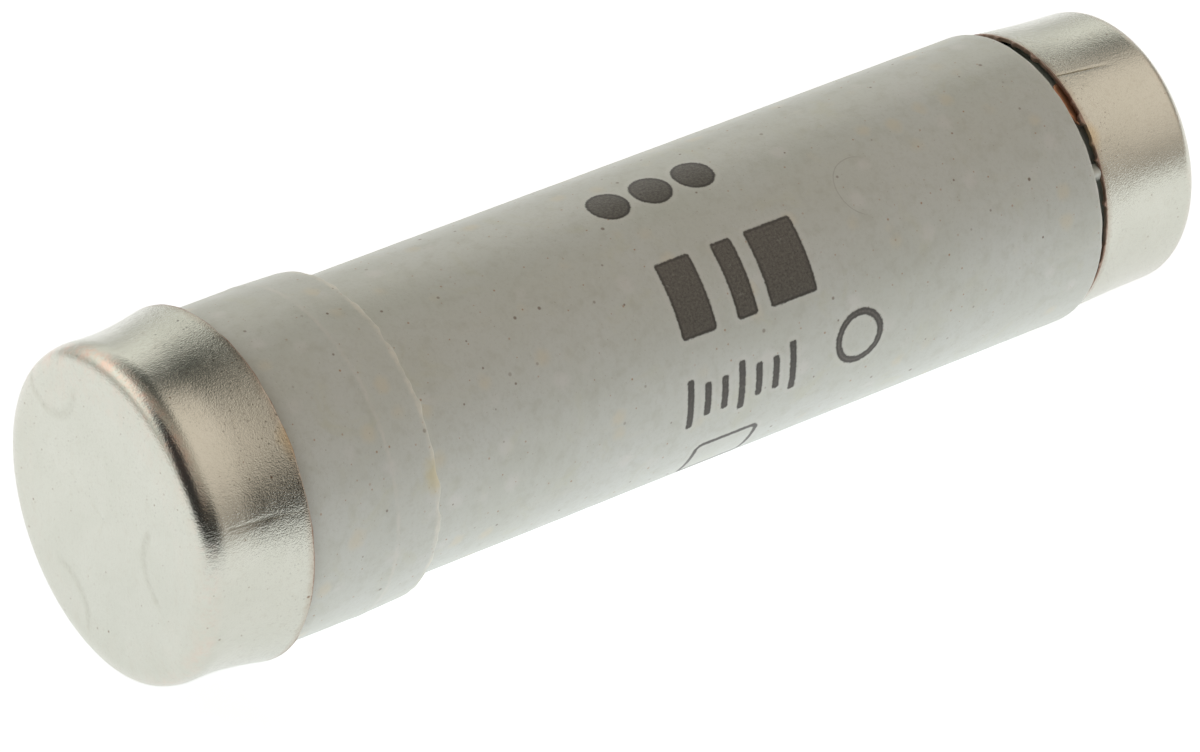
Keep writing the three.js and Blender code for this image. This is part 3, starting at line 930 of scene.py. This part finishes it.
ceramic = porcelain()
copper = metal(  # tarnished, so only half metallic
    "copper", (0.60, 0.28, 0.145), (0.74, 0.40, 0.235), 0.42, 0.8, (0.42, 0.18, 0.09), metallic=0.5
)
brass = metal("drawn_brass", (0.70, 0.52, 0.22), (0.80, 0.63, 0.32), 0.28, 0.9, (0.38, 0.26, 0.12))
steel = metal("spring_steel", (0.52, 0.52, 0.52), (0.64, 0.64, 0.64), 0.26, 1.2, (0.25, 0.22, 0.2))
nickel = metal(
    "resistance_wire", (0.50, 0.48, 0.44), (0.62, 0.60, 0.55), 0.3, 1.2, (0.26, 0.2, 0.15)
)
solder_tin = tin()

own(ceramic_body(), "fuse", "ceramic_body", ceramic)
own(ceramic_nib(), "fuse", "ceramic_body", ceramic)
own(foot_cap(), "fuse", "foot_contact_cap", plated("foot_cap_plating", "foot"))
own(head_cap(), "fuse", "head_contact_cap", plated("head_cap_plating", "head"))
for number, degrees in enumerate(STRIP_ANGLES, 1):
    element = strip(f"fuse_element_{number}_notched", degrees)
    own(element, "fuse", f"fuse_element_{number}", copper)
    spot = solder(f"solder_spot_{number}_set", degrees)
    own(spot, "fuse", f"solder_spot_{number}", solder_tin)
own(cup(), "fuse", "indicator_cup", brass)
own(button(), "indicator", "indicator_button", enamel())
own(wire_head_half(), "indicator", "indicator_wire_head_half", nickel)
own(wire_foot_half(), "fuse", "indicator_wire_foot_half", nickel)

coil = spring()
coil.data.materials.append(steel)
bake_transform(coil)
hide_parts("indicator_spring")

sand, board = grains(), fibre()
for node, material in (
    ("quartz_sand", sand),
    ("foot_sealing_disc", board),
    ("head_sealing_disc", board),
):
    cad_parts[node].data.materials.clear()
    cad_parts[node].data.materials.append(material)

# ------------------------------------------------------------ table, light, camera


def table_top():
    """A white table. It glows a little, so that it stays white in the soft light."""
    mesh = bpy.data.meshes.new("table_top")
    side, front = 15.0, -0.1  # metres: it ends just in front of the fuse, where the room is dark
    corners = [(-side, front, 0), (side, front, 0), (side, side, 0), (-side, side, 0)]
    mesh.from_pydata(corners, [], [(0, 1, 2, 3)])
    table = bpy.data.objects.new("table_top", mesh)
    bpy.context.scene.collection.objects.link(table)
    net = Surface("table_white")
    paper = net.noise(net.point, 0.8, 3)
    colour = net.mix(net.ramp(paper, -1, 1), (0.585, 0.61, 0.645), (0.62, 0.65, 0.685))
    net.finish(
        colour,
        0.6,
        net.bump(paper, 0.02, 0.02),
        **{"Emission Color": (1.0, 1.0, 1.0, 1), "Emission Strength": 0.755},
    )
    mesh.materials.append(net.material)


def studio():
    """Soft studio light: a bright backdrop behind, a warm softbox to the right, a dark gap between
    the two overhead, and a dark room on the camera's side."""
    world = bpy.data.worlds.new("studio")
    bpy.context.scene.world = world
    net = Net(world)
    sky = net.add("ShaderNodeTexCoord").outputs["Generated"]
    parts = net.add("ShaderNodeSeparateXYZ", {"Vector": sky})
    x, y, z = (Value(net, parts.outputs[i]) for i in range(3))
    turn = net.math("ARCTAN2", z, -y) * math.degrees(1)  # 0 in front, 90 overhead, 180 behind

    dark_room, warm_fill = (0.048, 0.043, 0.042), (0.545, 0.47, 0.40)
    fill = net.ramp(x, -0.28, -0.11) * net.ramp(turn, -6, 47)
    light = net.mix(fill, dark_room, warm_fill)

    warm_box = (0.95, 0.83, 0.725)
    softbox = net.ramp(x, 0.2, 0.38) * net.ramp(turn, -48, 70)
    light = net.mix(softbox, light, warm_box)

    backdrop_foot, backdrop_top = (0.58, 0.57, 0.535), (1.33, 1.30, 1.22)
    backdrop = net.mix(net.ramp(z, 0.1, 0.6), backdrop_foot, backdrop_top)
    behind = net.ramp(turn + net.ramp(x, 0.2, -0.3, 0, 25), 105, 146)
    light = net.mix(behind, light, backdrop)

    # The gap leans with x, and is wider and darker over the foot's flared rim.
    gap_middle = net.ramp(x, 0.2, 0.56, 106, 117)
    narrow = net.ramp(x, 0.3, 0.6, 0.62, 1.35)
    gap = net.ramp(abs(turn - gap_middle) * narrow, 34, 2)
    gap = gap * net.ramp(x, -0.3, 0.3) * net.ramp(x, 0.9, 0.62, 0.3, 1)
    light = net.mix(gap, light, (0.05, 0.055, 0.05))

    # Something dark low in front, and the plain end of the room to the right.
    low = net.ramp(abs(turn - 8), 24, 8) * net.ramp(x, 0.46, 0.28)
    light = net.mix(low, light, (0.02, 0.02, 0.018))
    light = net.mix(net.ramp(x, 0.8, 0.97), light, (0.40, 0.36, 0.31))

    # The camera sees plain white behind the table.
    white = net.add("ShaderNodeBackground", {"Color": (1, 1, 1, 1), "Strength": 1.0})
    lit = net.add("ShaderNodeBackground", {"Color": light, "Strength": 1.0})
    seen = net.add("ShaderNodeLightPath").outputs["Is Camera Ray"]
    whole = net.add("ShaderNodeMixShader", {0: seen, 1: lit.outputs[0], 2: white.outputs[0]})
    net.add("ShaderNodeOutputWorld", {"Surface": whole.outputs[0]})


def camera():
    """A long lens with no roll, looking down on the fuse."""
    data = bpy.data.cameras.new("camera")
    data.sensor_fit = "HORIZONTAL"
    data.sensor_width = 36
    data.lens = FOCAL_LENGTH
    data.clip_start, data.clip_end = 0.01, 100
    eye = bpy.data.objects.new("camera", data)
    bpy.context.scene.collection.objects.link(eye)
    eye.location = AXIS_START + Vector(EYE) * MM
    eye.rotation_mode = "QUATERNION"
    eye.rotation_quaternion = Vector(LOOK).to_track_quat("-Z", "Y")
    bpy.context.scene.camera = eye


table_top()
studio()
camera()
bpy.context.scene.view_settings.view_transform = "Standard"
